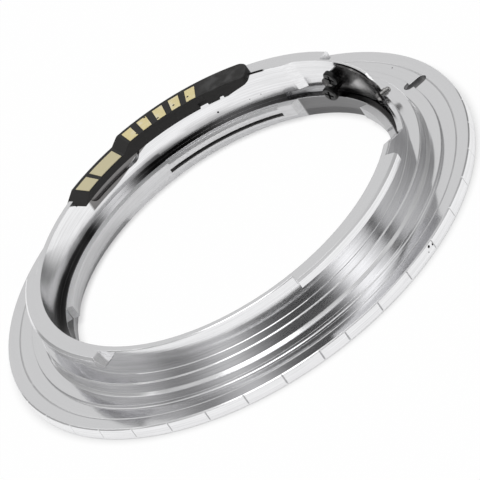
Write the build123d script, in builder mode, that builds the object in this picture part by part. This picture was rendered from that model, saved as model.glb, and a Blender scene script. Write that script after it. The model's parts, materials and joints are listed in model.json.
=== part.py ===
"""Lens mount adapter ring: camera bayonet above, lens bayonet inside, contact chip and leaf lock.

Millimetres, +Z towards the camera. The origin is the middle of the lens seat, the ring's lowest face.
Azimuths are degrees counter-clockwise from +X, seen from the camera side.
"""
import os
from math import cos, degrees, radians, sin, tan

from build123d import *

# Flange
flange_d = 65.0
flange_thickness = 1.7
flange_edge_break = 0.15
land_width = 3.7
grip_notch_count = 38
grip_notch_depth = 0.16
grip_notch_start = 277.3
grip_notch_span = 353.2
scribe_inset = 1.8
scribe_width = 0.2
scribe_depth = 0.04
lock_slot_azimuth = 11.1
lock_slot_inset = 3.1
lock_slot_length = 3.1
lock_slot_width = 1.6

# Camera side: seat, pilot, collar and lugs
seat_width = 1.85
seat_step = 0.4
seat_foot = 0.1
pilot_length = 1.8
pilot_chamfer = 0.13
pilot_foot = 0.32
pilot_step = 1.85
collar_foot = 0.07
collar_wall = 0.8
rim_height = 7.8
rim_chamfer = 0.12
camera_lug_reach = 1.5
camera_lug_thickness = 1.25
camera_lug_chamfer = 0.3
camera_lugs = [(33.0, 88.8), (154.8, 210.5), (276.5, 325.3)]
lug_run_out_length = 1.7

# Lens side: shelf, bore and slit lugs
shelf_height = 2.9
shelf_width = 0.8
lens_lug_reach = 0.9
lens_lug_thickness = 1.8
lens_lugs = [(48.6, 160.0, 2.6, 0.0), (182.0, 265.0, 0.0, 0.0), (296.0, 377.5, 0.0, 2.6)]
lug_slit_azimuths = [74.0, 219.5, 336.5]
lug_slit_rise = 0.35
lug_slit_height = 0.5
lug_slit_depth = 1.3
lug_slit_saw_radius = 13.0
lug_relief_span = 40.0
lug_relief_depth = 0.3

# Spring pocket and the low stretch of the collar beside it
pocket_depth = 0.45
pocket_end = 43.0
pocket_ramp = 4.3
shelf_groove_start = 34.5
shelf_groove_end = 51.5
shelf_groove_height = 0.65
shelf_groove_step = 0.15
low_wall_start = 331.0
low_wall_end = 366.6
low_wall_ramp_length = 6.1
low_wall_drop = 3.05
low_wall_end_run = 1.25
low_wall_end_drop = 1.5

# Leaf spring, its screws and its pin
leaf_thickness = 0.25
leaf_wall_gap = 0.2
leaf_start = 3.0
leaf_end = 36.0
leaf_end_gap = 1.5
leaf_bottom_gap = 0.15
leaf_top_gap = 0.05
leaf_end_height = 1.7
leaf_end_slope = 31.0
leaf_tip_height = 3.0
leaf_tip_slope = 19.5
leaf_corner_radius = 0.6
upper_screw_azimuth = 28.7
upper_screw_rise = 3.05
upper_screw_stand_off = 0.35
lower_screw_azimuth = 31.2
lower_screw_rise = 0.95
lower_screw_stand_off = 1.0
screw_head_d = 2.1
screw_head_thickness = 0.6
screw_head_chamfer = 0.15
screw_shank_d = 0.9
screw_hole_clearance = 0.05
screw_leaf_clearance = 0.15
screw_cross_width = 0.3
screw_cross_span = 1.4
screw_cross_depth = 0.3
screw_cross_turn = 20.0
pin_azimuth = 5.0
pin_drop = 2.4
pin_d = 0.8
pin_collar_d = 1.0
pin_collar_length = 0.4
pin_collar_gap = 0.5
pin_reach = 1.45
pin_tip_chamfer = 0.2
pin_rivet_d = 1.3
pin_rivet_height = 0.3
pin_leaf_clearance = 0.02

# Contact chip
plate_thickness = 0.8
plate_overhang = 0.9
skirt_width = 1.6
skirt_depth = 0.95
skirt_gap = 0.05
upper_tier_start = 57.8
upper_tier_end = 103.6
lower_tier_end = 124.5
tier_step = 0.8
tier_ramp = 1.35
seat_lead = 2.4
seat_end_gap = 0.3
block_end_slope = 1.8
block_end_drop = 0.8
block_edge_chamfer = 0.08
nose_inner_radius = 0.8
nose_outer_radius = 1.6
nose_slope = 3.2
nose_rise = 0.8
notch_depth = 0.5
wide_notch_rise = 0.85
narrow_notch_rise = 0.5
recess_start = 96.5
recess_end = 119.5
recess_height = 1.95
recess_depth = 0.4
recess_lead = 1.6
recess_corner = 1.2
pad_thickness = 0.2
pad_proud = 0.04
pad_gap = 0.02
pad_margin = 0.14
pad_length = 2.5
upper_pads = [98.0, 92.7, 87.3, 82.0, 76.7]
upper_pad_width = 1.35
lower_pads = [(104.6, 113.8), (115.2, 120.2)]

# Radii, from the flange's edge inwards
flange_r = flange_d / 2
scribe_r = flange_r - scribe_inset
lock_slot_r = flange_r - lock_slot_inset
seat_r = flange_r - land_width
pilot_r = seat_r - seat_width
collar_r = pilot_r - pilot_step
camera_lug_r = collar_r + camera_lug_reach
wall_r = collar_r - collar_wall
lens_bore_r = wall_r - shelf_width
lens_lug_r = lens_bore_r - lens_lug_reach
pocket_r = wall_r + pocket_depth
leaf_outer_r = pocket_r - leaf_wall_gap
leaf_inner_r = leaf_outer_r - leaf_thickness
block_outer_r = collar_r + plate_overhang
block_inner_r = wall_r - skirt_width
pad_inner_r = block_inner_r + pad_margin
pad_outer_r = pad_inner_r + pad_length

# Heights, from the lens seat upwards
seat_height = flange_thickness + seat_step
pilot_height = seat_height + pilot_length
lug_bottom = rim_height - camera_lug_thickness
low_wall_height = rim_height - low_wall_drop
lens_lug_bottom = shelf_height - lens_lug_thickness
leaf_bottom = shelf_height + leaf_bottom_gap
leaf_top = rim_height - leaf_top_gap
pin_height = leaf_top - pin_drop
block_bottom = rim_height - skirt_depth
upper_tier_height = rim_height + plate_thickness
lower_tier_height = upper_tier_height - tier_step

# Azimuths and places that follow
lug_run_out_start = camera_lugs[1][1]
lug_run_out_end = lug_run_out_start + degrees(lug_run_out_length / camera_lug_r)
pocket_start = leaf_start - leaf_end_gap
seat_start = upper_tier_end - seat_lead
screw_places = [
    ("spring_screw_upper", upper_screw_azimuth, shelf_height + upper_screw_rise, upper_screw_stand_off),
    ("spring_screw_lower", lower_screw_azimuth, shelf_height + lower_screw_rise, lower_screw_stand_off),
]
skirt_notches = [(72.8, 75.7, wide_notch_rise), (67.2, 68.8, narrow_notch_rise)]

# How far pieces that are joined reach into each other, and cuts past what they cut
overlap = 0.4
through = 1.0


def polar(radius, azimuth):
    """Point of the XY plane at a radius and an azimuth."""
    return (radius * cos(radians(azimuth)), radius * sin(radians(azimuth)))


def outward_plane(azimuth, radius):
    """Plane whose normal points away from the axis, with +Z up and its X along the rim."""
    x, y = polar(1, azimuth)
    return Plane(origin=(radius * x, radius * y, 0), x_dir=(-y, x, 0), z_dir=(x, y, 0))


def band(inner, outer, bottom, top):
    """Section points of a plain rectangular band."""
    return [(inner, bottom), (outer, bottom), (outer, top), (inner, top)]


def turned_arc(points, start, end, mode=Mode.ADD):
    """Turn a section of (radius, height) points about the axis from one azimuth to another."""
    with BuildSketch(Plane.XZ.rotated((0, 0, start))) as section:
        with BuildLine():
            Polyline(*points, close=True)
        make_face()
    revolve(section.sketch, axis=Axis.Z, revolution_arc=end - start, mode=mode)


def turned_outward(points, azimuth, height):
    """Turn a profile of (distance from the ring's axis, own radius) points about an outward axis."""
    x, y = polar(1, azimuth)
    plane = Plane(origin=(0, 0, height), x_dir=(x, y, 0), z_dir=(y, -x, 0))
    with BuildSketch(plane) as profile:
        with BuildLine():
            Polyline(*points, close=True)
        make_face()
    revolve(profile.sketch, axis=Axis(plane.origin, plane.x_dir))


def outward_cut(points, azimuth, inner, outer):
    """Cut an outline of (distance along the rim, height) points from one radius out to another."""
    with BuildSketch(outward_plane(azimuth, inner)) as outline:
        with BuildLine():
            Polyline(*points, close=True)
        make_face()
    extrude(outline.sketch, amount=outer - inner, mode=Mode.SUBTRACT)


def outward_hole(radius, azimuth, height, inner, outer):
    """Cut a round hole from one radius out to another."""
    with BuildSketch(outward_plane(azimuth, inner)) as outline:
        with Locations((0, height)):
            Circle(radius)
    extrude(outline.sketch, amount=outer - inner, mode=Mode.SUBTRACT)


def above_slope(foot, run, rise):
    """Outline of what lies above a slope that falls from (foot x - run) to its foot, and beyond the foot."""
    x, z = foot
    top = z + rise + through
    return [(x - run, z + rise), (x, z), (x + through, z), (x + through, top), (x - run, top)]


def below_slope(foot, run, rise):
    """Outline of what lies below a slope that falls from its foot to (foot x + run), and before the foot."""
    x, z = foot
    bottom = z - rise - through
    return [(x + run, z - rise), (x, z), (x - through, z), (x - through, bottom), (x + run, bottom)]


os.makedirs("parts", exist_ok=True)

# The recess below the chip's lower tier: a rounded outline, milled to one depth along the curved wall
recess_half = wall_r * sin(radians((recess_end - recess_start) / 2))
with BuildPart() as recess:
    with BuildSketch(outward_plane((recess_start + recess_end) / 2, block_inner_r)) as outline:
        with BuildLine():
            Polyline(
                (-recess_half, block_bottom),
                (recess_lead - recess_half, block_bottom - recess_height),
                (recess_half, block_bottom - recess_height),
                (recess_half, block_bottom + overlap),
                (-recess_half, block_bottom + overlap),
                close=True,
            )
        make_face()
        fillet(outline.vertices().sort_by(Axis.Y)[:2], recess_corner)
    extrude(amount=collar_r - block_inner_r)
    Cylinder(wall_r + recess_depth, 2 * rim_height, mode=Mode.INTERSECT)

# Section of the camera-side lugs, and the slope that runs out past the end of one of them
lug_root_r = collar_r - overlap
lug_section = [
    (lug_root_r, lug_bottom),
    (camera_lug_r, lug_bottom),
    (camera_lug_r, rim_height - camera_lug_chamfer),
    (camera_lug_r - camera_lug_chamfer, rim_height),
    (lug_root_r, rim_height),
]
run_out_slope = above_slope((0, lug_bottom), lug_run_out_length, camera_lug_thickness)
with BuildPart() as run_out:
    turned_arc(lug_section, lug_run_out_start, lug_run_out_end)
    outward_cut(run_out_slope, lug_run_out_end, collar_r, flange_r)

# The ring, turned in one piece and then milled
with BuildPart() as ring:
    with BuildSketch(Plane.XZ):
        with BuildLine():
            Polyline(
                (lens_bore_r, 0),
                (flange_r - flange_edge_break, 0),
                (flange_r, flange_edge_break),
                (flange_r, flange_thickness - flange_edge_break),
                (flange_r - flange_edge_break, flange_thickness),
                (scribe_r + scribe_width / 2, flange_thickness),
                (scribe_r, flange_thickness - scribe_depth),
                (scribe_r - scribe_width / 2, flange_thickness),
                (seat_r + seat_foot, flange_thickness),
                (seat_r, flange_thickness + seat_foot),
                (seat_r, seat_height),
                (pilot_r + pilot_foot, seat_height),
                (pilot_r, seat_height + pilot_foot),
                (pilot_r, pilot_height - pilot_chamfer),
                (pilot_r - pilot_chamfer, pilot_height),
                (collar_r + collar_foot, pilot_height),
                (collar_r, pilot_height + collar_foot),
                (collar_r, rim_height - rim_chamfer),
                (collar_r - rim_chamfer, rim_height),
                (wall_r, rim_height),
                (wall_r, shelf_height),
                (lens_bore_r, shelf_height),
                close=True,
            )
        make_face()
    revolve(axis=Axis.Z)

    for start, end in camera_lugs:
        turned_arc(lug_section, start, end)
    add(run_out.part)
    for start, end, start_lean, end_lean in lens_lugs:
        with BuildSketch(Plane.XY.offset(lens_lug_bottom)):
            with BuildLine():
                face = CenterArc((0, 0), lens_lug_r, start, end - start)
                root_start = start - start_lean
                root = CenterArc((0, 0), lens_bore_r + overlap, root_start, end - end_lean - root_start)
                Line(face @ 0, root @ 0)
                Line(face @ 1, root @ 1)
            make_face()
        extrude(amount=lens_lug_thickness)

    # Saw cuts that leave springy lips on the lens lugs, and the relief above the lips
    saw_centre_r = lens_lug_r + lug_slit_depth - lug_slit_saw_radius
    for azimuth in lug_slit_azimuths:
        with BuildSketch(Plane.XY.offset(lens_lug_bottom + lug_slit_rise)):
            with Locations(polar(saw_centre_r, azimuth)):
                Circle(lug_slit_saw_radius)
        extrude(amount=lug_slit_height, mode=Mode.SUBTRACT)
        turned_arc(
            band(lens_lug_r - overlap, lens_bore_r, shelf_height - lug_relief_depth, shelf_height),
            azimuth - lug_relief_span / 2,
            azimuth + lug_relief_span / 2,
            Mode.SUBTRACT,
        )

    # Spring pocket with a sloped end, and the groove along its foot
    pocket_top = rim_height + through
    pocket_section = band(wall_r - overlap, pocket_r, shelf_height, pocket_top)
    turned_arc(pocket_section, pocket_start, pocket_end, Mode.SUBTRACT)
    with BuildSketch(Plane.XY.offset(shelf_height)):
        with BuildLine():
            Polyline(
                polar(pocket_r, pocket_end),
                polar(wall_r, pocket_end + pocket_ramp),
                polar(wall_r - overlap, pocket_end),
                close=True,
            )
        make_face()
    extrude(amount=pocket_top - shelf_height, mode=Mode.SUBTRACT)
    shelf_groove_r = pocket_r + shelf_groove_step
    turned_arc(
        band(wall_r - overlap, shelf_groove_r, shelf_height, shelf_height + shelf_groove_height),
        shelf_groove_start,
        shelf_groove_end,
        Mode.SUBTRACT,
    )

    # Low stretch of the collar that the pin passes over
    low_wall_middle = (low_wall_start + low_wall_end) / 2
    low_wall_half = collar_r * sin(radians((low_wall_end - low_wall_start) / 2))
    outward_cut(
        [
            (-low_wall_half, rim_height),
            (low_wall_ramp_length - low_wall_half, low_wall_height),
            (low_wall_half, low_wall_height),
            (low_wall_half, rim_height - low_wall_end_drop),
            (low_wall_half + low_wall_end_run, rim_height),
            (low_wall_half + low_wall_end_run, rim_height + through),
            (-low_wall_half, rim_height + through),
        ],
        low_wall_middle,
        lens_lug_r,
        pilot_r,
    )

    # Seat of the chip's lower tier and the recess below it
    turned_arc(
        band(wall_r - overlap, collar_r + overlap, block_bottom, rim_height + through),
        seat_start,
        lower_tier_end + seat_end_gap,
        Mode.SUBTRACT,
    )
    add(recess.part, mode=Mode.SUBTRACT)

    # Slot for the camera's lock pin and the grip notches round the edge, with one gap shorter than the rest
    with BuildSketch():
        with Locations(polar(lock_slot_r, lock_slot_azimuth)):
            SlotOverall(lock_slot_length, lock_slot_width, rotation=lock_slot_azimuth)
    extrude(amount=seat_height + through, mode=Mode.SUBTRACT)
    with BuildSketch():
        with PolarLocations(flange_r, grip_notch_count, grip_notch_start, grip_notch_span, endpoint=True):
            RegularPolygon(grip_notch_depth, 4)
    extrude(amount=flange_thickness, mode=Mode.SUBTRACT)

    # Holes for the spring's screws
    for _, azimuth, height, _ in screw_places:
        hole_r = screw_shank_d / 2 + screw_hole_clearance
        outward_hole(hole_r, azimuth, height, wall_r, collar_r + screw_hole_clearance)
ring.part.label = "mount_ring"
export_step(ring.part, "parts/mount_ring.step")

# The leaf spring, bent to the collar's curve, a slanted strip from the screws up to the pin
leaf_height = leaf_top - leaf_bottom
end_rise = leaf_height - leaf_end_height
tip_fall = leaf_height - leaf_tip_height
end_slope = above_slope((0, leaf_bottom + leaf_end_height), end_rise / tan(radians(leaf_end_slope)), end_rise)
tip_slope = below_slope((0, leaf_top - leaf_tip_height), tip_fall / tan(radians(leaf_tip_slope)), tip_fall)
with BuildPart() as leaf:
    turned_arc(band(leaf_inner_r, leaf_outer_r, leaf_bottom, leaf_top), leaf_start, leaf_end)
    outward_cut(end_slope, leaf_end, lens_lug_r, pilot_r)
    outward_cut(tip_slope, leaf_start, lens_lug_r, pilot_r)
    corners = leaf.edges().filter_by(lambda edge: edge.length < 2 * leaf_thickness)
    fillet(corners, leaf_corner_radius)
    for _, azimuth, height, _ in screw_places:
        outward_hole(screw_shank_d / 2 + screw_leaf_clearance, azimuth, height, lens_lug_r, pilot_r)
    outward_hole(pin_d / 2 + pin_leaf_clearance, pin_azimuth, pin_height, lens_lug_r, pilot_r)
leaf.part.label = "lock_spring"
export_step(leaf.part, "parts/lock_spring.step")

# The lock pin, riveted through the leaf and reaching out over the low wall
pin_tip_r = leaf_outer_r + pin_reach
pin_rivet_r = leaf_inner_r - pin_leaf_clearance
pin_collar_r = leaf_outer_r + pin_collar_gap
pin_profile = [
    (pin_rivet_r - pin_rivet_height, 0),
    (pin_rivet_r - pin_rivet_height, pin_d / 2),
    (pin_rivet_r, pin_rivet_d / 2),
    (pin_rivet_r, pin_d / 2),
    (pin_collar_r, pin_d / 2),
    (pin_collar_r, pin_collar_d / 2),
    (pin_collar_r + pin_collar_length, pin_collar_d / 2),
    (pin_collar_r + pin_collar_length, pin_d / 2),
    (pin_tip_r - pin_tip_chamfer, pin_d / 2),
    (pin_tip_r, pin_d / 2 - pin_tip_chamfer),
    (pin_tip_r, 0),
]
with BuildPart() as pin:
    turned_outward(pin_profile, pin_azimuth, pin_height)
pin.part.label = "lock_pin"
export_step(pin.part, "parts/lock_pin.step")

# The two cross-recess screws that hold the leaf
for name, azimuth, height, stand_off in screw_places:
    under_head_r = leaf_inner_r - stand_off
    face_r = under_head_r - screw_head_thickness
    screw_profile = [
        (face_r, 0),
        (face_r, screw_head_d / 2 - screw_head_chamfer),
        (face_r + screw_head_chamfer, screw_head_d / 2),
        (under_head_r, screw_head_d / 2),
        (under_head_r, screw_shank_d / 2),
        (collar_r, screw_shank_d / 2),
        (collar_r, 0),
    ]
    with BuildPart() as screw:
        turned_outward(screw_profile, azimuth, height)
        with BuildSketch(outward_plane(azimuth, face_r)):
            with Locations((0, height)):
                Rectangle(screw_cross_span, screw_cross_width, rotation=screw_cross_turn)
                Rectangle(screw_cross_width, screw_cross_span, rotation=screw_cross_turn)
        extrude(amount=screw_cross_depth, mode=Mode.SUBTRACT)
    screw.part.label = name
    export_step(screw.part, f"parts/{name}.step")

# The chip's moulded block: a plate on the rim, a skirt inside the wall and a lower tier in the seat
pad_depth = pad_thickness - pad_proud
half_width = degrees(upper_pad_width / (pad_inner_r + pad_outer_r))
pads = [(middle - half_width, middle + half_width, upper_tier_height) for middle in upper_pads]
pads += [(start, end, lower_tier_height) for start, end in lower_pads]
tier_slope = above_slope((0, lower_tier_height), tier_ramp, tier_step)
low_end_slope = above_slope((0, lower_tier_height - block_end_drop), block_end_slope, block_end_drop)
nose_underside = below_slope((0, block_bottom + nose_rise), nose_slope, nose_rise)
plate_section = band(block_inner_r, block_outer_r, rim_height, upper_tier_height)
skirt_section = band(block_inner_r, wall_r - skirt_gap, block_bottom, rim_height)
low_section = band(block_inner_r, block_outer_r, block_bottom, lower_tier_height)
inside_r = block_inner_r - through
outside_r = block_outer_r + through
with BuildPart() as block:
    turned_arc(plate_section, upper_tier_start, upper_tier_end)
    turned_arc(skirt_section, upper_tier_start, upper_tier_end)
    turned_arc(low_section, seat_start, lower_tier_end)
    # Ramp between the tiers, sloped low end and the nose's sloped underside
    outward_cut(tier_slope, upper_tier_end, inside_r, outside_r)
    outward_cut(low_end_slope, lower_tier_end, inside_r, outside_r)
    outward_cut(nose_underside, upper_tier_start, inside_r, outside_r)
    # Rounded nose, broken top edges and the notches in the skirt's lower edge
    nose_inner, _, nose_outer = block.edges().filter_by(Axis.Z).sort_by(Axis.X)[-3:]
    fillet(nose_inner, nose_inner_radius)
    fillet(nose_outer, nose_outer_radius)
    chamfer(block.faces().filter_by(Axis.Z).sort_by(Axis.Z)[-1].edges(), block_edge_chamfer)
    for start, end, rise in skirt_notches:
        notch = band(inside_r, block_inner_r + notch_depth, block_bottom, block_bottom + rise)
        turned_arc(notch, start, end, Mode.SUBTRACT)
    for start, end, top in pads:
        side = degrees(pad_gap / pad_inner_r)
        pad_recess = band(pad_inner_r - pad_gap, pad_outer_r + pad_gap, top - pad_depth, top + through)
        turned_arc(pad_recess, start - side, end + side, Mode.SUBTRACT)
block.part.label = "contact_block"
export_step(block.part, "parts/contact_block.step")

for number, (start, end, top) in enumerate(pads, start=1):
    with BuildPart() as pad:
        turned_arc(band(pad_inner_r, pad_outer_r, top - pad_depth, top + pad_proud), start, end)
    pad.part.label = f"contact_pad_{number}"
    export_step(pad.part, f"parts/contact_pad_{number}.step")
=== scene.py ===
"""Lens mount adapter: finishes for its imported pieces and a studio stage, laid out as an add-on.

Lengths are metres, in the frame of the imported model: +Z towards the camera body, origin in the middle
of the lens seat. Azimuths are degrees counter-clockwise from +X, seen from above.
"""
import json
from math import cos, radians, sin, tau

import bmesh
import bpy
from bpy.props import FloatProperty, FloatVectorProperty, PointerProperty
from bpy.types import Operator, Panel, PropertyGroup
from mathutils import Matrix, Vector


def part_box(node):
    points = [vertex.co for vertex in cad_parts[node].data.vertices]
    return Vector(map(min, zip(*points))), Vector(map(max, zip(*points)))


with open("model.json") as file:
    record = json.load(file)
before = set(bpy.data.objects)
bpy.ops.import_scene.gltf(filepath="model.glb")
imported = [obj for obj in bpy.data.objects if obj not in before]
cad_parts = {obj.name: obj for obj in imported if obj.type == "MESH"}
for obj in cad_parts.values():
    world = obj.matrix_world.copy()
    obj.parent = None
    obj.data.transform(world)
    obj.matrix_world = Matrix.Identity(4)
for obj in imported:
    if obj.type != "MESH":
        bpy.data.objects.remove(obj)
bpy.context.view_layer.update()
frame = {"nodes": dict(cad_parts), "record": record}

bl_info = {
    "name": "Lens Mount Adapter Finish",
    "version": (1, 0, 0),
    "blender": (4, 5, 0),
    "location": "3D View > Sidebar > Adapter",
    "description": "Turned plate, moulded chip, gold pads and blackened lock of a lens mount adapter",
    "category": "Object",
}

MM = 0.001

# Radii and heights of the ring that its marks sit on
WALL_RADIUS = 24.3 * MM
RIM_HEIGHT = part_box("mount_ring")[1].z
CHIP_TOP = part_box("contact_pad_1")[1].z

# Small dark spots on the ring, in millimetres and degrees: radius from the axis, azimuth, height,
# own radius
SPOTS = [
    (24.3, 73.0, 4.31, 0.17),
    (24.3, 62.5, 4.19, 0.08),
    (24.3, 58.5, 4.36, 0.08),
    (32.5, 304.4, 1.25, 0.24),
    (32.5, 305.6, 1.0, 0.2),
    (32.4, 303.6, 0.75, 0.16),
    (30.2, 23.5, 1.7, 0.12),
]

# Painted shade in cuts and grooves that stay dark, such as the lens lugs' slits, the lock slot, the grip
# notches and the scribe groove, and painted dark reflections on the bore. In millimetres and degrees: inner
# and outer radius, bottom, top, first and last azimuth, share of dark. CUT_SOFT is the soft margin round
# each, in millimetres.
PAINTED_CUT_SHADE = [
    (22.63, 24.1, 1.46, 1.94, 53.0, 95.0, 0.95),
    (22.63, 24.1, 1.46, 1.94, 198.5, 240.5, 0.95),
    (22.63, 24.1, 1.46, 1.94, 315.5, 357.5, 0.95),
    (25.15, 26.75, 6.5, 7.76, 211.2, 214.5, 0.35),
    (27.7, 31.1, 0.03, 1.64, 7.0, 15.0, 0.7),
    (32.1, 32.4, 0.19, 1.51, -179.0, 179.0, 0.35),
    (30.58, 30.82, 1.62, 1.69, -179.0, 179.0, 0.16),
    (23.44, 23.6, 0.02, 2.85, 16.0, 46.5, 0.75),
    (22.5, 23.42, 0.9, 2.95, 330.0, 378.0, 0.2),
]
CUT_SOFT = 0.03

# Turning marks: change of the lines and the streaks round the ring, and the streaks' pitch and share
LINE_ROUND = 2
LINE_DETAIL = 3
STREAK_ROUND = 7
STREAK_DETAIL = 2
STREAK_PITCH = 0.16
STREAK_SHARE = 0.3
TOOL_RANGE = (0.3, 0.7)
PLATE_SHADES = (0.96, 1.13)

# Upward part of the normal where a face starts to be flat and is flat, and how far its streaks fade
FLAT_FACE = (0.7, 0.95)
FLAT_FADE = 0.85

# Glue line beside the chip: azimuths, depths below the rim and reach outside the wall
GLUE_LINE = (53.6, 57.9)
GLUE_DEPTHS = (0.25 * MM, 0.15 * MM)
GLUE_REACH = (0.1 * MM, 0.2 * MM)

# Painted shade in the corner between wall and shelf: radii, heights where it starts and fades, and how
# ragged it ends
CORNER_RADII = (23.56 * MM, 24.36 * MM)
CORNER_FOOT = (2.82 * MM, 2.86 * MM)
CORNER_FADE = (3.0 * MM, 4.9 * MM)
CORNER_RAGGED = 1.2 * MM
BAND_SOFT = 0.05 * MM

# Darker grey-brown patch on the wall under the chip: its sector, its lower edge, which falls between two
# azimuths, and its top
SCOOP_SECTOR = (79, 120)
SCOOP_RADII = (24.2 * MM, 24.8 * MM)
SCOOP_EDGE = 6.45 * MM
SCOOP_FALL = 2.15 * MM
SCOOP_FALL_SECTOR = (87, 112)
SCOOP_EDGE_SOFT = 0.15 * MM
SCOOP_TOP = (6.9 * MM, 7.0 * MM)
SCOOP_SHARE = 0.85

# Satin lens side, inside these radii and below these heights: the lugs, and the bore under them
SATIN_LUGS = ((23.4 * MM, 23.46 * MM), (2.93 * MM, 2.97 * MM))
SATIN_BORE = ((23.55 * MM, 23.6 * MM), (1.0 * MM, 1.1 * MM))
SATIN_METAL_LOSS = 0.6

# Roughness that each mark adds to the plate
STREAK_BLUR = 0.12
MARK_BLUR = 0.4
SCOOP_BLUR = 0.25
SATIN_BLUR = 0.3

# Depth of the painted shade in the corner between wall and shelf: azimuth, share of dark
CORNER_SHADE = [
    (-180, 0.6),
    (-155, 0.6),
    (-150, 0.0),
    (-42, 0.0),
    (-36, 0.9),
    (46, 0.9),
    (54, 0.6),
    (74, 0.6),
    (84, 0.84),
    (98, 0.84),
    (108, 0.2),
    (118, 0.2),
    (127, 0.85),
    (168, 0.88),
    (180, 0.6),
]

# Moulding of the chip: sizes of grain and clouds, the paler nose, part scuff and part painted sheen, and
# the depth of the top's edge
CHIP_GRAIN = 0.12 * MM
CHIP_CLOUD = 1.4 * MM
CHIP_CLOUD_RANGE = (0.4, 0.65)
CHIP_NOSE = 66.0
CHIP_SCUFF_SHEEN_REACH = (1.5 * MM, 4.5 * MM)
CHIP_SCUFF_SHEEN_SHARE = 0.25
CHIP_GRAIN_SHARE = 0.1
CHIP_GRAIN_BLUR = 0.2
CHIP_GRAIN_DEPTH = 0.006 * MM
CHIP_EDGE = 0.06 * MM
CHIP_TOP_EDGE = (0.2 * MM, 0.05 * MM)
CHIP_SPECULAR = 0.25

# Gold of the pads: brush lines along and across, clouds, and the depth at which the lower pads lie
GOLD_BRUSH = (0.5 * MM, 0.06 * MM)
GOLD_CLOUD = 0.9 * MM
GOLD_CLOUD_RANGE = (0.45, 0.75)
GOLD_METAL = 0.35
GOLD_BRUSH_BLUR = 0.25
GOLD_BRUSH_DEPTH = 0.004 * MM
GOLD_EDGE = 0.05 * MM
LOWER_PADS = (0.5 * MM, 0.3 * MM)

# Steel of the lock and screws: stretch of the grain, size and share of the rubs, and the painted highlight
# on the leaf
STEEL_GRAIN_STRETCH = 5
STEEL_RUB = 1.1 * MM
STEEL_RUB_RANGE = (0.5, 0.72)
STEEL_RUB_SHARE = 0.5
STEEL_METAL = 0.9
STEEL_GRAIN_BLUR = 0.16
STEEL_GRAIN_DEPTH = 0.003 * MM
STEEL_EDGE = 0.06 * MM
HIGHLIGHT_CORE = 0.35
HIGHLIGHT_LEAST = 0.7
HIGHLIGHT_GRAIN = 0.6
LEAF_GRAIN = 0.3 * MM
SMALL_GRAIN = 0.15 * MM

# Painted highlight on the leaf, standing in for a reflection: azimuth, height, reach
LEAF_PAINTED_HIGHLIGHT = (15.5, 4.9 * MM, 3.6 * MM)

# Pits in the pads: azimuth, radius from the axis
PAD_PITS = [
    (77.6, 23.82 * MM),
    (82.5, 23.75 * MM),
    (88.5, 23.22 * MM),
    (91.6, 25.2 * MM),
    (96.4, 23.25 * MM),
]

# Floor in the ring's shade, which the metal mirrors darker: radii, their soft margin and azimuths
UNDER_RING = (21.5 * MM, 27.0 * MM)
UNDER_RING_SOFT = 3.2 * MM
UNDER_RING_SECTOR = (114, 215)

# Floor: gap under the ring, corners of its outline, and the wider shadow that the metal mirrors
FLOOR_GAP = 0.02 * MM
FLOOR_CORNERS = 96
WIDE_SHADOW = 8
MIRRORED_SHADOW = 0.4
SHADOW_SAMPLES = 8

# Brightness of the studio's walls round the horizon: azimuth, level
STUDIO_WALLS = [
    (-180, 0.42),
    (-174, 0.38),
    (-168, 0.27),
    (-156, 0.27),
    (-148, 0.42),
    (-140, 0.57),
    (-132, 0.7),
    (-124, 0.6),
    (-116, 0.38),
    (-106, 0.18),
    (-92, 0.08),
    (-72, 0.08),
    (-64, 0.22),
    (-58, 0.7),
    (-52, 1.3),
    (-42, 1.4),
    (-36, 1.0),
    (-28, 0.78),
    (-24, 0.4),
    (-22, 0.0),
    (-18, 0.0),
    (-15, 0.45),
    (-8, 0.64),
    (6, 0.54),
    (22, 0.4),
    (44, 0.28),
    (62, 0.36),
    (76, 0.62),
    (84, 0.69),
    (104, 0.69),
    (116, 0.32),
    (150, 0.46),
]

# Lights above the studio's walls: two elevations and a level. Upper wall and ceiling start at the first
# elevation and are full from the second; the strip lies between its two and between two azimuths.
UPPER_WALL = (36, 46, 0.66)
CEILING = (64, 76, 0.8)
STRIP = (36, 47, 0.7)
STRIP_SECTOR = (108, 176)
STRIP_SOFT = 0.02

# The walls' levels are divided by this in their colour ramp, to stay under 1, and multiplied after it
WALL_SCALE = 2

# Lamp, in metres and watts, and how far the camera sees
LAMP_SIZE = 0.6
LAMP_POWER = 1.15
LAMP_PLACE = (-0.25, -0.35, 0.9)
CAMERA_REACH = 10

# Share of a spot's radius that is fully dark, softness of a sector's ends, samples of a rounded edge and
# the Mix node's output that carries a colour
SPOT_CORE = 0.6
SECTOR_SOFT = radians(1)
EDGE_SAMPLES = 6
MIX_COLOUR = 2


def slot_colour(slot):
    """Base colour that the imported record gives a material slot."""
    return next(m["base_color"] for m in frame["record"]["materials"] if m["slot"] == slot)


def polar(radius, azimuth, height):
    """Point at a radius, an azimuth in degrees and a height."""
    return Vector((radius * cos(radians(azimuth)), radius * sin(radians(azimuth)), height))


def heights(*elevations):
    """Heights of directions at elevations in degrees."""
    return [sin(radians(elevation)) for elevation in elevations]


def turn_share(azimuth):
    """Share of a turn, from -X, of an azimuth in degrees."""
    return azimuth / 360 + 0.5


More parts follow.
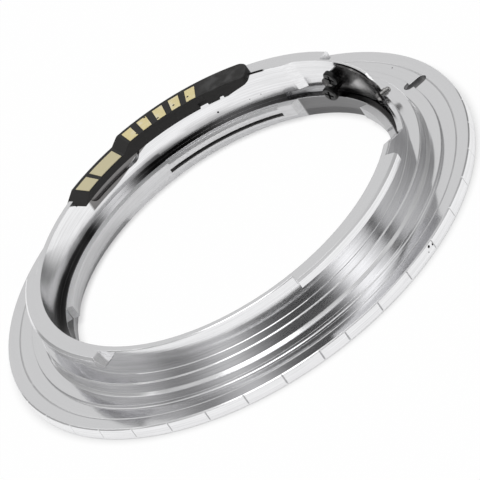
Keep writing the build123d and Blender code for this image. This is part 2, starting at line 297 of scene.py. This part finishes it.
class Wire:
    """A socket of a shader tree. Arithmetic on it adds Math nodes."""

    def __init__(self, tree, socket):
        self.tree = tree
        self.socket = socket

    def math(self, operation, *operands):
        """Math node of any operation with this socket first."""
        return maths(self.tree, operation, self, *operands)

    def __add__(self, other):
        return self.math("ADD", other)

    def __radd__(self, other):
        return self.math("ADD", other)

    def __sub__(self, other):
        return self.math("SUBTRACT", other)

    def __rsub__(self, other):
        return maths(self.tree, "SUBTRACT", other, self)

    def __mul__(self, other):
        return self.math("MULTIPLY", other)

    def __rmul__(self, other):
        return self.math("MULTIPLY", other)

    def __truediv__(self, other):
        return self.math("DIVIDE", other)

    def __rtruediv__(self, other):
        return maths(self.tree, "DIVIDE", other, self)


def join(tree, socket, value):
    """Give a socket a link or a plain value."""
    if isinstance(value, Wire):
        tree.links.new(value.socket, socket)
    else:
        socket.default_value = value


def maths(tree, operation, *operands):
    """Math node whose operands are sockets or numbers."""
    node = tree.nodes.new("ShaderNodeMath")
    node.operation = operation
    for socket, operand in zip(node.inputs, operands):
        join(tree, socket, operand)
    return Wire(tree, node.outputs[0])


class Shading:
    """A node tree for one finish, with one way to add any node."""

    def __init__(self, owner):
        owner.use_nodes = True
        self.tree = owner.node_tree
        self.tree.nodes.clear()

    def node(self, kind, settings, sockets, output=0):
        """Add a node: its settings first, then its sockets by identifier or name. Returns one output."""
        node = self.tree.nodes.new(kind)
        for name, value in settings.items():
            if name == "stops":
                self.set_stops(node.color_ramp, value)
            else:
                setattr(node, name, value)
        for name, value in sockets.items():
            socket = next(s for s in node.inputs if name in (s.identifier, s.name))
            join(self.tree, socket, value)
        return Wire(self.tree, node.outputs[output]) if node.outputs else None

    def set_stops(self, ramp, stops):
        """Give a colour ramp its (position, level) stops."""
        while len(ramp.elements) > 1:
            ramp.elements.remove(ramp.elements[-1])
        for number, (position, level) in enumerate(stops):
            element = ramp.elements[0] if number == 0 else ramp.elements.new(position)
            element.position = position
            element.color = (level, level, level, 1)

    def place(self):
        """Position on the piece, as a vector and as its three numbers."""
        vector = self.node("ShaderNodeTexCoord", {}, {}, "Object")
        return vector, *self.parts(vector)

    def parts(self, vector):
        """The three numbers of a vector."""
        first = self.node("ShaderNodeSeparateXYZ", {}, {"Vector": vector})
        return [Wire(self.tree, socket) for socket in first.socket.node.outputs]

    def vector(self, x, y, z):
        """Vector of three numbers."""
        return self.node("ShaderNodeCombineXYZ", {}, {"X": x, "Y": y, "Z": z})

    def noise(self, vector, scale, detail=2.0, w=0.0):
        """Four-dimensional noise between 0 and 1."""
        sockets = {"Vector": vector, "W": w, "Scale": scale, "Detail": detail}
        return self.node("ShaderNodeTexNoise", {"noise_dimensions": "4D"}, sockets)

    def step(self, value, low, high):
        """Smooth step from 0 at low to 1 at high."""
        settings = {"interpolation_type": "SMOOTHSTEP"}
        sockets = {"Value": value, "From Min": low, "From Max": high}
        return self.node("ShaderNodeMapRange", settings, sockets)

    def within(self, value, low, high, soft):
        """1 between two limits, falling to 0 over a soft margin outside them."""
        return self.step(value, low - soft, low) * (1 - self.step(value, high, high + soft))

    def levels(self, table, share, scale=1):
        """Level that a table of azimuths and levels has at a share of a turn."""
        stops = [(turn_share(azimuth), level / scale) for azimuth, level in table]
        return self.node("ShaderNodeValToRGB", {"stops": stops}, {"Fac": share}) * scale

    def away(self, vector, point):
        """Distance from a point."""
        sockets = {"Vector": vector, "Vector_001": point}
        return self.node("ShaderNodeVectorMath", {"operation": "DISTANCE"}, sockets, "Value")

    def near(self, vector, point, radius):
        """Soft spot of a radius round a point."""
        return 1 - self.step(self.away(vector, point), SPOT_CORE * radius, radius)

    def blend(self, factor, first, second):
        """Mix of two colours."""
        sockets = {"Factor_Float": factor, "A_Color": opaque(first), "B_Color": opaque(second)}
        return self.node("ShaderNodeMix", {"data_type": "RGBA"}, sockets, MIX_COLOUR)

    def bump(self, height, depth, edge):
        """Normal of a height field whose full range is a depth, over rounded edges of a radius."""
        rounded = self.node("ShaderNodeBevel", {"samples": EDGE_SAMPLES}, {"Radius": edge})
        sockets = {"Height": height, "Strength": 1.0, "Distance": depth, "Normal": rounded}
        return self.node("ShaderNodeBump", {}, sockets)

    def surface(self, sockets):
        """Principled surface as the material's output."""
        shader = self.node("ShaderNodeBsdfPrincipled", {}, sockets)
        self.node("ShaderNodeOutputMaterial", {}, {"Surface": shader})


class Polar:
    """Round coordinates of a place or a direction."""

    def __init__(self, shading, x, y, z):
        self.shading = shading
        self.x = x
        self.y = y
        self.z = z
        self.radius = (x * x + y * y).math("SQRT")
        self.east = x / self.radius
        self.north = y / self.radius

    def turn(self):
        """Azimuth as a share of a turn, from -X."""
        return self.y.math("ARCTAN2", self.x) / tau + 0.5

    def sector(self, start, end):
        """1 between two azimuths in degrees, with soft ends."""
        middle = radians((start + end) / 2)
        half = radians((end - start) / 2)
        along = self.east * cos(middle) + self.north * sin(middle)
        return self.shading.step(along, cos(half + SECTOR_SOFT), cos(half))

    def ring(self, radii, soft):
        """1 between two radii, with soft margins."""
        return self.shading.within(self.radius, *radii, soft)

    def core(self, radii, tops):
        """1 inside a radius and below a height, each given by where it starts to fall and ends."""
        inside = 1 - self.shading.step(self.radius, *radii)
        return inside * (1 - self.shading.step(self.z, *tops))


def opaque(colour):
    """A colour with alpha, or a link as it is."""
    return colour if isinstance(colour, Wire) else (*colour, 1)


def shade(colour, factor):
    """A colour made lighter or darker."""
    return tuple(min(1, channel * factor) for channel in colour[:3])


def dress(names, material):
    """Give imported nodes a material."""
    for name in names:
        if name not in frame["nodes"]:
            raise RuntimeError(f"the packed model has no node {name}")
        for slot in frame["nodes"][name].material_slots:
            slot.material = material


def marks_and_cut_shade(s, vector, place):
    """Spots and the glue line on the ring, with painted shade in its cuts."""
    marks_and_shade = 0.0
    for distance, azimuth, height, size in SPOTS:
        marks_and_shade = s.near(vector, polar(distance * MM, azimuth, height * MM), size * MM) + marks_and_shade
    # Painted shade in each cut and groove
    for inner, outer, bottom, top, first, last, share in PAINTED_CUT_SHADE:
        band = place.ring((inner * MM, outer * MM), CUT_SOFT * MM)
        layer = s.within(place.z, bottom * MM, top * MM, CUT_SOFT * MM)
        marks_and_shade = band * layer * place.sector(first, last) * share + marks_and_shade
    rim = s.step(place.z, *(RIM_HEIGHT - depth for depth in GLUE_DEPTHS))
    outside = s.step(place.radius, *(WALL_RADIUS + reach for reach in GLUE_REACH))
    return (rim * (1 - outside) * place.sector(*GLUE_LINE) + marks_and_shade).math("MINIMUM", 1)


def painted_corner_shade(s, place, streaks):
    """Painted shade in the corner between wall and shelf, with a ragged upper edge."""
    corner = place.ring(CORNER_RADII, BAND_SOFT) * s.step(place.z, *CORNER_FOOT)
    fade = s.step(place.z + (streaks - 0.5) * CORNER_RAGGED, *CORNER_FADE)
    return corner * (1 - fade) * s.levels(CORNER_SHADE, place.turn())


def dark_patch_under_chip(s, place):
    """Darker patch on the wall under the chip."""
    fall = s.step(place.turn(), *(turn_share(azimuth) for azimuth in SCOOP_FALL_SECTOR))
    edge = SCOOP_EDGE - fall * SCOOP_FALL
    scoop = place.sector(*SCOOP_SECTOR) * place.ring(SCOOP_RADII, BAND_SOFT)
    return scoop * s.step(place.z - edge, 0, SCOOP_EDGE_SOFT) * (1 - s.step(place.z, *SCOOP_TOP))


def turned_plate(look):
    """Bright plate over turned metal, with painted shade in its cuts and corner, a darker patch under the
    chip, satin inside.
    """
    material = bpy.data.materials.new("turned_plate")
    s = Shading(material)
    vector, x, y, z = s.place()
    place = Polar(s, x, y, z)
    across = 1 / look.line_pitch
    wide = across * STREAK_PITCH
    line_place = s.vector(place.radius * across, z * across, place.east * LINE_ROUND)
    lines = s.noise(line_place, 1, LINE_DETAIL, place.north * LINE_ROUND)
    streak_place = s.vector(place.radius * wide, z * wide, place.east * STREAK_ROUND)
    streaks = s.noise(streak_place, 1, STREAK_DETAIL, place.north * STREAK_ROUND)
    tool = lines * (1 - STREAK_SHARE) + streaks * STREAK_SHARE

    marks_and_shade = marks_and_cut_shade(s, vector, place)
    # Spots and glue, with painted shade in the cuts and the corner
    dark = marks_and_shade.math("MAXIMUM", painted_corner_shade(s, place, streaks))
    scoop = dark_patch_under_chip(s, place)
    satin = place.core(*SATIN_LUGS).math("MAXIMUM", place.core(*SATIN_BORE))

    _, _, up = s.parts(s.node("ShaderNodeNewGeometry", {}, {}, "Normal"))
    contrast = 1 - s.step(up, *FLAT_FACE) * FLAT_FADE
    tone = (s.step(tool, *TOOL_RANGE) - 0.5) * contrast + 0.5
    metal = s.blend(tone, *(shade(look.colour, factor) for factor in PLATE_SHADES))
    metal = s.blend(scoop * SCOOP_SHARE, metal, look.scoop_colour)
    blur = (streaks - 0.5) * STREAK_BLUR + marks_and_shade * MARK_BLUR + scoop * SCOOP_BLUR + satin * SATIN_BLUR
    s.surface(
        {
            "Base Color": s.blend(dark, metal, look.mark_and_shade_colour),
            "Metallic": 1 - satin * SATIN_METAL_LOSS,
            "Roughness": look.roughness + blur,
            "Anisotropic": look.grain,
            "Normal": s.bump(tool, look.line_depth, look.edge_radius),
        }
    )
    return material


def moulded_black(look):
    """Satin black moulding with a fine grain, and a paler top towards its nose, part scuff and part painted
    sheen.
    """
    material = bpy.data.materials.new("moulded_black")
    s = Shading(material)
    vector, _, _, z = s.place()
    grain = s.noise(vector, 1 / CHIP_GRAIN, detail=3)
    cloud = s.noise(vector, 1 / CHIP_CLOUD, detail=3)
    nose = polar(WALL_RADIUS, CHIP_NOSE, CHIP_TOP)
    top = s.step(z, *(CHIP_TOP - depth for depth in CHIP_TOP_EDGE))
    at_nose = 1 - s.step(s.away(vector, nose), *CHIP_SCUFF_SHEEN_REACH)
    # Paler patch on the top near the nose: part scuff, part painted sheen
    rubbed = at_nose * top * s.step(cloud, *CHIP_CLOUD_RANGE)
    pale = rubbed * CHIP_SCUFF_SHEEN_SHARE + grain * CHIP_GRAIN_SHARE
    s.surface(
        {
            "Base Color": s.blend(pale, look.colour, look.rub_and_highlight_colour),
            "Roughness": look.roughness + (grain - 0.5) * CHIP_GRAIN_BLUR,
            "Specular IOR Level": CHIP_SPECULAR,
            "Normal": s.bump(grain, CHIP_GRAIN_DEPTH, CHIP_EDGE),
        }
    )
    return material


def pale_gold(look):
    """Pale gold plate, lightly brushed and clouded, with a dark pit in some pads and duller lower pads."""
    material = bpy.data.materials.new("pale_gold")
    s = Shading(material)
    vector, x, y, z = s.place()
    radius = (x * x + y * y).math("SQRT")
    along, across = GOLD_BRUSH
    brushed = s.noise(s.vector(x / along, y / along, radius / across), 1)
    cloud = s.noise(vector, 1 / GOLD_CLOUD)
    pits = 0.0
    for azimuth, distance in PAD_PITS:
        pits = s.near(vector, polar(distance, azimuth, CHIP_TOP), look.pit_radius) + pits
    plate = s.blend(s.step(cloud, *GOLD_CLOUD_RANGE), look.colour, look.worn_colour)
    lower = 1 - s.step(z, *(CHIP_TOP - depth for depth in LOWER_PADS))
    plate = s.blend(lower, plate, look.dull_colour)
    s.surface(
        {
            "Base Color": s.blend(pits, plate, look.pit_colour),
            "Metallic": GOLD_METAL,
            "Roughness": look.roughness + (brushed - 0.5) * GOLD_BRUSH_BLUR,
            "Normal": s.bump(brushed, GOLD_BRUSH_DEPTH, GOLD_EDGE),
        }
    )
    return material


def steel_rubs_and_highlight(name, look, grain_size, bright=None):
    """Steel with a fine rolled grain and a few paler rubs, with a painted highlight round a point where one
    is given.
    """
    material = bpy.data.materials.new(name)
    s = Shading(material)
    vector, x, y, z = s.place()
    grain = s.noise(s.vector(x, y, z * STEEL_GRAIN_STRETCH), 1 / grain_size, detail=3)
    rub = s.step(s.noise(vector, 1 / STEEL_RUB, detail=3), *STEEL_RUB_RANGE) * STEEL_RUB_SHARE
    if bright:
        point, reach = bright
        # Painted highlight round the point
        painted_highlight = 1 - s.step(s.away(vector, point), HIGHLIGHT_CORE * reach, reach)
        rub = rub + painted_highlight * (HIGHLIGHT_LEAST + grain * HIGHLIGHT_GRAIN)
    s.surface(
        {
            "Base Color": s.blend(rub.math("MINIMUM", 1), look.colour, look.rub_and_highlight_colour),
            "Metallic": STEEL_METAL,
            "Roughness": look.roughness + (grain - 0.5) * STEEL_GRAIN_BLUR,
            "Normal": s.bump(grain, STEEL_GRAIN_DEPTH, STEEL_EDGE),
        }
    )
    return material


def colour_property(label, text, default):
    """Colour that a user would change."""
    return FloatVectorProperty(name=label, description=text, default=default, subtype="COLOR", min=0, max=1)


def share_property(label, text, default):
    """Share between 0 and 1 that a user would change."""
    return FloatProperty(name=label, description=text, default=default, subtype="FACTOR", min=0, max=1)


def length_property(label, text, default):
    """Length that a user would change."""
    return FloatProperty(name=label, description=text, default=default, unit="LENGTH", min=0, precision=6)


def angle_property(label, text, default):
    """Angle that a user would change, given in degrees."""
    return FloatProperty(name=label, description=text, default=radians(default), subtype="ANGLE")


class RingLook(PropertyGroup):
    """Turned and plated metal of the ring."""

    colour: colour_property("Plate", "Colour of the bright plate", slot_colour("plated_metal"))
    scoop_colour: colour_property("Scoop", "Colour of the scoop under the chip", (0.13, 0.122, 0.118))
    # Colour of the spots and glue, and of the painted shade in the cuts and the corner
    mark_and_shade_colour: colour_property("Marks", "Colour of spots, cuts and glue", (0.02, 0.018, 0.018))
    roughness: share_property("Roughness", "Blur of the plate's reflections", 0.13)
    grain: share_property("Grain", "Stretch of the reflections across the turning lines", 0.75)
    line_pitch: length_property("Line pitch", "Distance between turning lines", 0.16 * MM)
    line_depth: length_property("Line depth", "Depth of the turning lines", 0.0025 * MM)
    edge_radius: length_property("Edge radius", "Rounding that catches light on edges", 0.09 * MM)


class ChipLook(PropertyGroup):
    """Moulded block of the contact chip."""

    colour: colour_property("Moulding", "Colour of the block", (0.012, 0.011, 0.0105))
    # Colour of the scuffs, and of the painted sheen on the nose
    rub_and_highlight_colour: colour_property("Rubbed", "Colour where the block is rubbed", (0.16, 0.16, 0.16))
    roughness: share_property("Roughness", "Blur of the block's reflections", 0.5)


class GoldLook(PropertyGroup):
    """Gold plate of the contact pads."""

    colour: colour_property("Gold", "Colour of the plate", (0.88, 0.76, 0.4))
    worn_colour: colour_property("Worn gold", "Colour of the paler clouds", (0.92, 0.84, 0.6))
    dull_colour: colour_property("Dull gold", "Colour of the lower pads", (0.7, 0.63, 0.4))
    pit_colour: colour_property("Pit", "Colour of the pits", (0.03, 0.02, 0.008))
    pit_radius: length_property("Pit radius", "Radius of a pit", 0.2 * MM)
    roughness: share_property("Roughness", "Blur of the plate's reflections", 0.38)


class SteelLook(PropertyGroup):
    """Blackened steel of the leaf spring."""

    colour: colour_property("Steel", "Colour of the blackened steel", slot_colour("dark_spring_steel"))
    # Colour of the rubs, and of the painted highlight on the leaf
    rub_and_highlight_colour: colour_property("Rubbed", "Colour where the black is rubbed", (0.5, 0.495, 0.49))
    roughness: share_property("Roughness", "Blur of the steel's reflections", 0.18)


class PinLook(PropertyGroup):
    """Polished steel of the pin on the leaf spring."""

    colour: colour_property("Steel", "Colour of the polished steel", (0.3, 0.295, 0.29))
    rub_and_highlight_colour: colour_property("Rubbed", "Colour where the steel is rubbed", (0.45, 0.44, 0.43))
    roughness: share_property("Roughness", "Blur of the steel's reflections", 0.16)


class ScrewLook(PropertyGroup):
    """Black oxide of the screws."""

    colour: colour_property("Oxide", "Colour of the black oxide", slot_colour("black_screw"))
    rub_and_highlight_colour: colour_property("Rubbed", "Colour where the oxide is rubbed", (0.1, 0.1, 0.1))
    roughness: share_property("Roughness", "Blur of the oxide's reflections", 0.32)


class StageLook(PropertyGroup):
    """Floor, light and camera."""

    floor_radius: length_property("Floor radius", "Radius of the round floor", 1.5)
    floor_colour: colour_property("Floor", "Colour of the floor", (0.9, 0.9, 0.9))
    under_colour: colour_property("In shade", "Colour of the floor in the ring's shade", (0.25, 0.25, 0.25))
    floor_glow: share_property("Floor glow", "Share of plain white in the floor as seen", 0.98)
    shadow_reach: length_property("Shadow reach", "How far the contact shadow spreads", 1.2 * MM)
    elevation: angle_property("Elevation", "Camera's angle above the horizon", 30.81)
    turn: angle_property("Turn", "Counter-clockwise turn of the object in the picture", 35.28)
    picture_width: length_property("Picture width", "Width of the picture at the object", 58.71 * MM)
    offset_right: length_property("Right of middle", "Ring's origin from the picture's middle", 0.509 * MM)
    offset_down: length_property("Below middle", "Ring's origin from the picture's middle", 1.067 * MM)
    distance: length_property("Distance", "Distance of the camera", 1.95)


class AdapterLook(PropertyGroup):
    """All finishes and the stage."""

    ring: PointerProperty(type=RingLook)
    chip: PointerProperty(type=ChipLook)
    gold: PointerProperty(type=GoldLook)
    steel: PointerProperty(type=SteelLook)
    pin: PointerProperty(type=PinLook)
    screw: PointerProperty(type=ScrewLook)
    stage: PointerProperty(type=StageLook)


class ADAPTER_OT_ring(Operator):
    """Finish the ring in turned plate"""

    bl_idname = "adapter.ring"
    bl_label = "Ring"

    def execute(self, context):
        dress(["mount_ring"], turned_plate(context.scene.adapter_look.ring))
        return {"FINISHED"}


class ADAPTER_OT_chip(Operator):
    """Finish the chip's block in moulded black"""

    bl_idname = "adapter.chip"
    bl_label = "Contact block"

    def execute(self, context):
        dress(["contact_block"], moulded_black(context.scene.adapter_look.chip))
        return {"FINISHED"}


class ADAPTER_OT_pads(Operator):
    """Finish the contact pads in pale gold"""

    bl_idname = "adapter.pads"
    bl_label = "Contact pads"

    def execute(self, context):
        pads = [name for name in frame["nodes"] if name.startswith("contact_pad")]
        dress(pads, pale_gold(context.scene.adapter_look.gold))
        return {"FINISHED"}


class ADAPTER_OT_lock(Operator):
    """Finish the leaf spring in blackened steel and its pin in polished steel"""

    bl_idname = "adapter.lock"
    bl_label = "Lock spring and pin"

    def execute(self, context):
        look = context.scene.adapter_look
        # Painted highlight on the leaf, standing in for a reflection
        bright = (polar(WALL_RADIUS, *LEAF_PAINTED_HIGHLIGHT[:2]), LEAF_PAINTED_HIGHLIGHT[2])
        dress(["lock_spring"], steel_rubs_and_highlight("blackened_spring", look.steel, LEAF_GRAIN, bright))
        dress(["lock_pin"], steel_rubs_and_highlight("bright_pin", look.pin, SMALL_GRAIN))
        return {"FINISHED"}


class ADAPTER_OT_screws(Operator):
    """Finish the spring's screws in black oxide"""

    bl_idname = "adapter.screws"
    bl_label = "Screws"

    def execute(self, context):
        screws = ["spring_screw_upper", "spring_screw_lower"]
        dress(screws, steel_rubs_and_highlight("black_oxide", context.scene.adapter_look.screw, SMALL_GRAIN))
        return {"FINISHED"}


def openness(s, reach):
    """Openness of the floor within a reach, 0 where something lies close over it."""
    return s.node("ShaderNodeAmbientOcclusion", {"samples": SHADOW_SAMPLES}, {"Distance": reach}, "AO")


def floor_finish(look):
    """Pale matt floor that the camera and the metal see almost white, with the object's shadow."""
    material = bpy.data.materials.new("pale_floor")
    s = Shading(material)
    white = s.node("ShaderNodeEmission", {}, {"Color": (1, 1, 1, 1), "Strength": 1.0})
    seen = s.node("ShaderNodeLightPath", {}, {}, "Is Camera Ray")
    mirrored = s.node("ShaderNodeLightPath", {}, {}, "Is Glossy Ray")
    open_near = openness(s, look.shadow_reach)
    open_wide = openness(s, WIDE_SHADOW * look.shadow_reach)
    _, x, y, z = s.place()
    place = Polar(s, x, y, z)
    under = place.ring(UNDER_RING, UNDER_RING_SOFT) * place.sector(*UNDER_RING_SECTOR) * mirrored
    in_metal = mirrored * (open_wide * MIRRORED_SHADOW + (1 - MIRRORED_SHADOW)) * (1 - under)
    share = (seen * open_near).math("MAXIMUM", in_metal) * look.floor_glow
    colour = s.blend(under, look.floor_colour, look.under_colour)
    matt = s.node("ShaderNodeBsdfDiffuse", {}, {"Color": colour})
    mixed = s.node("ShaderNodeMixShader", {}, {"Fac": share, "Shader": matt, "Shader_001": white})
    s.node("ShaderNodeOutputMaterial", {}, {"Surface": mixed})
    return material


def make_floor(look):
    """Round floor just under the lens seat."""
    mesh = bpy.data.meshes.new("floor")
    shape = bmesh.new()
    bmesh.ops.create_circle(shape, cap_ends=True, segments=FLOOR_CORNERS, radius=look.floor_radius)
    shape.to_mesh(mesh)
    shape.free()
    mesh.materials.append(floor_finish(look))
    floor = bpy.data.objects.new("floor", mesh)
    floor.location.z = -FLOOR_GAP
    bpy.context.scene.collection.objects.link(floor)


def make_world():
    """Studio of bright and dark walls, an upper wall, a strip and a ceiling, plain white to the camera."""
    world = bpy.data.worlds.new("studio")
    bpy.context.scene.world = world
    s = Shading(world)
    place = Polar(s, *s.parts(s.node("ShaderNodeTexCoord", {}, {}, "Generated")))
    walls = s.levels(STUDIO_WALLS, place.turn(), WALL_SCALE)
    *upper_range, upper_level = UPPER_WALL
    *ceiling_range, ceiling_level = CEILING
    *strip_range, strip_level = STRIP
    upper = s.step(place.z, *heights(*upper_range))
    ceiling = s.step(place.z, *heights(*ceiling_range))
    strip = s.within(place.z, *heights(*strip_range), STRIP_SOFT) * place.sector(*STRIP_SECTOR)
    level = walls * (1 - upper) + upper * upper_level + ceiling * ceiling_level + strip * strip_level
    room = s.node("ShaderNodeBackground", {}, {"Color": (1, 1, 1, 1), "Strength": level})
    white = s.node("ShaderNodeBackground", {}, {"Color": (1, 1, 1, 1), "Strength": 1.0})
    seen = s.node("ShaderNodeLightPath", {}, {}, "Is Camera Ray")
    mixed = s.node("ShaderNodeMixShader", {}, {"Fac": seen, "Shader": room, "Shader_001": white})
    s.node("ShaderNodeOutputWorld", {}, {"Surface": mixed})


def make_lamp():
    """One soft lamp high over the object."""
    data = bpy.data.lights.new("soft_lamp", "AREA")
    data.shape = "DISK"
    data.size = LAMP_SIZE
    data.energy = LAMP_POWER
    lamp = bpy.data.objects.new("soft_lamp", data)
    place = Vector(LAMP_PLACE)
    lamp.matrix_world = Matrix.Translation(place) @ place.to_track_quat("Z", "Y").to_matrix().to_4x4()
    bpy.context.scene.collection.objects.link(lamp)


def make_camera(look):
    """Camera at the photograph's angle, turned about its own axis."""
    data = bpy.data.cameras.new("camera")
    data.lens = data.sensor_width * look.distance / look.picture_width
    data.clip_end = CAMERA_REACH
    back = Vector((0, -cos(look.elevation), sin(look.elevation)))
    flat_up = Vector((0, sin(look.elevation), cos(look.elevation)))
    flat_right = Vector((1, 0, 0))
    right = flat_right * cos(look.turn) - flat_up * sin(look.turn)
    up = flat_right * sin(look.turn) + flat_up * cos(look.turn)
    middle = up * look.offset_down - right * look.offset_right
    camera = bpy.data.objects.new("camera", data)
    turn = Matrix((right, up, back)).transposed()
    camera.matrix_world = Matrix.Translation(middle + back * look.distance) @ turn.to_4x4()
    bpy.context.scene.collection.objects.link(camera)
    bpy.context.scene.camera = camera


class ADAPTER_OT_stage(Operator):
    """Make the floor, the light and the camera"""

    bl_idname = "adapter.stage"
    bl_label = "Stage"

    def execute(self, context):
        look = context.scene.adapter_look.stage
        make_floor(look)
        make_world()
        make_lamp()
        make_camera(look)
        context.scene.view_settings.view_transform = "Standard"
        return {"FINISHED"}


# Each operator with the groups of properties that it uses
OPERATORS = (
    (ADAPTER_OT_ring, ("ring",)),
    (ADAPTER_OT_chip, ("chip",)),
    (ADAPTER_OT_pads, ("gold",)),
    (ADAPTER_OT_lock, ("steel", "pin")),
    (ADAPTER_OT_screws, ("screw",)),
    (ADAPTER_OT_stage, ("stage",)),
)


class ADAPTER_PT_panel(Panel):
    """Finishes and stage of the adapter"""

    bl_idname = "ADAPTER_PT_panel"
    bl_label = "Lens Mount Adapter"
    bl_space_type = "VIEW_3D"
    bl_region_type = "UI"
    bl_category = "Adapter"

    def draw(self, context):
        look = context.scene.adapter_look
        for operator, groups in OPERATORS:
            box = self.layout.box()
            for group in groups:
                for name in getattr(look, group).__annotations__:
                    box.prop(getattr(look, group), name)
            box.operator(operator.bl_idname)


GROUPS = (RingLook, ChipLook, GoldLook, SteelLook, PinLook, ScrewLook, StageLook, AdapterLook)
CLASSES = (*GROUPS, *(operator for operator, _ in OPERATORS), ADAPTER_PT_panel)


def register():
    for cls in CLASSES:
        bpy.utils.register_class(cls)
    bpy.types.Scene.adapter_look = PointerProperty(type=AdapterLook)


def unregister():
    del bpy.types.Scene.adapter_look
    for cls in reversed(CLASSES):
        bpy.utils.unregister_class(cls)


def main():
    register()
    bpy.ops.adapter.ring()
    bpy.ops.adapter.chip()
    bpy.ops.adapter.pads()
    bpy.ops.adapter.lock()
    bpy.ops.adapter.screws()
    bpy.ops.adapter.stage()


if __name__ == "__main__":
    main()
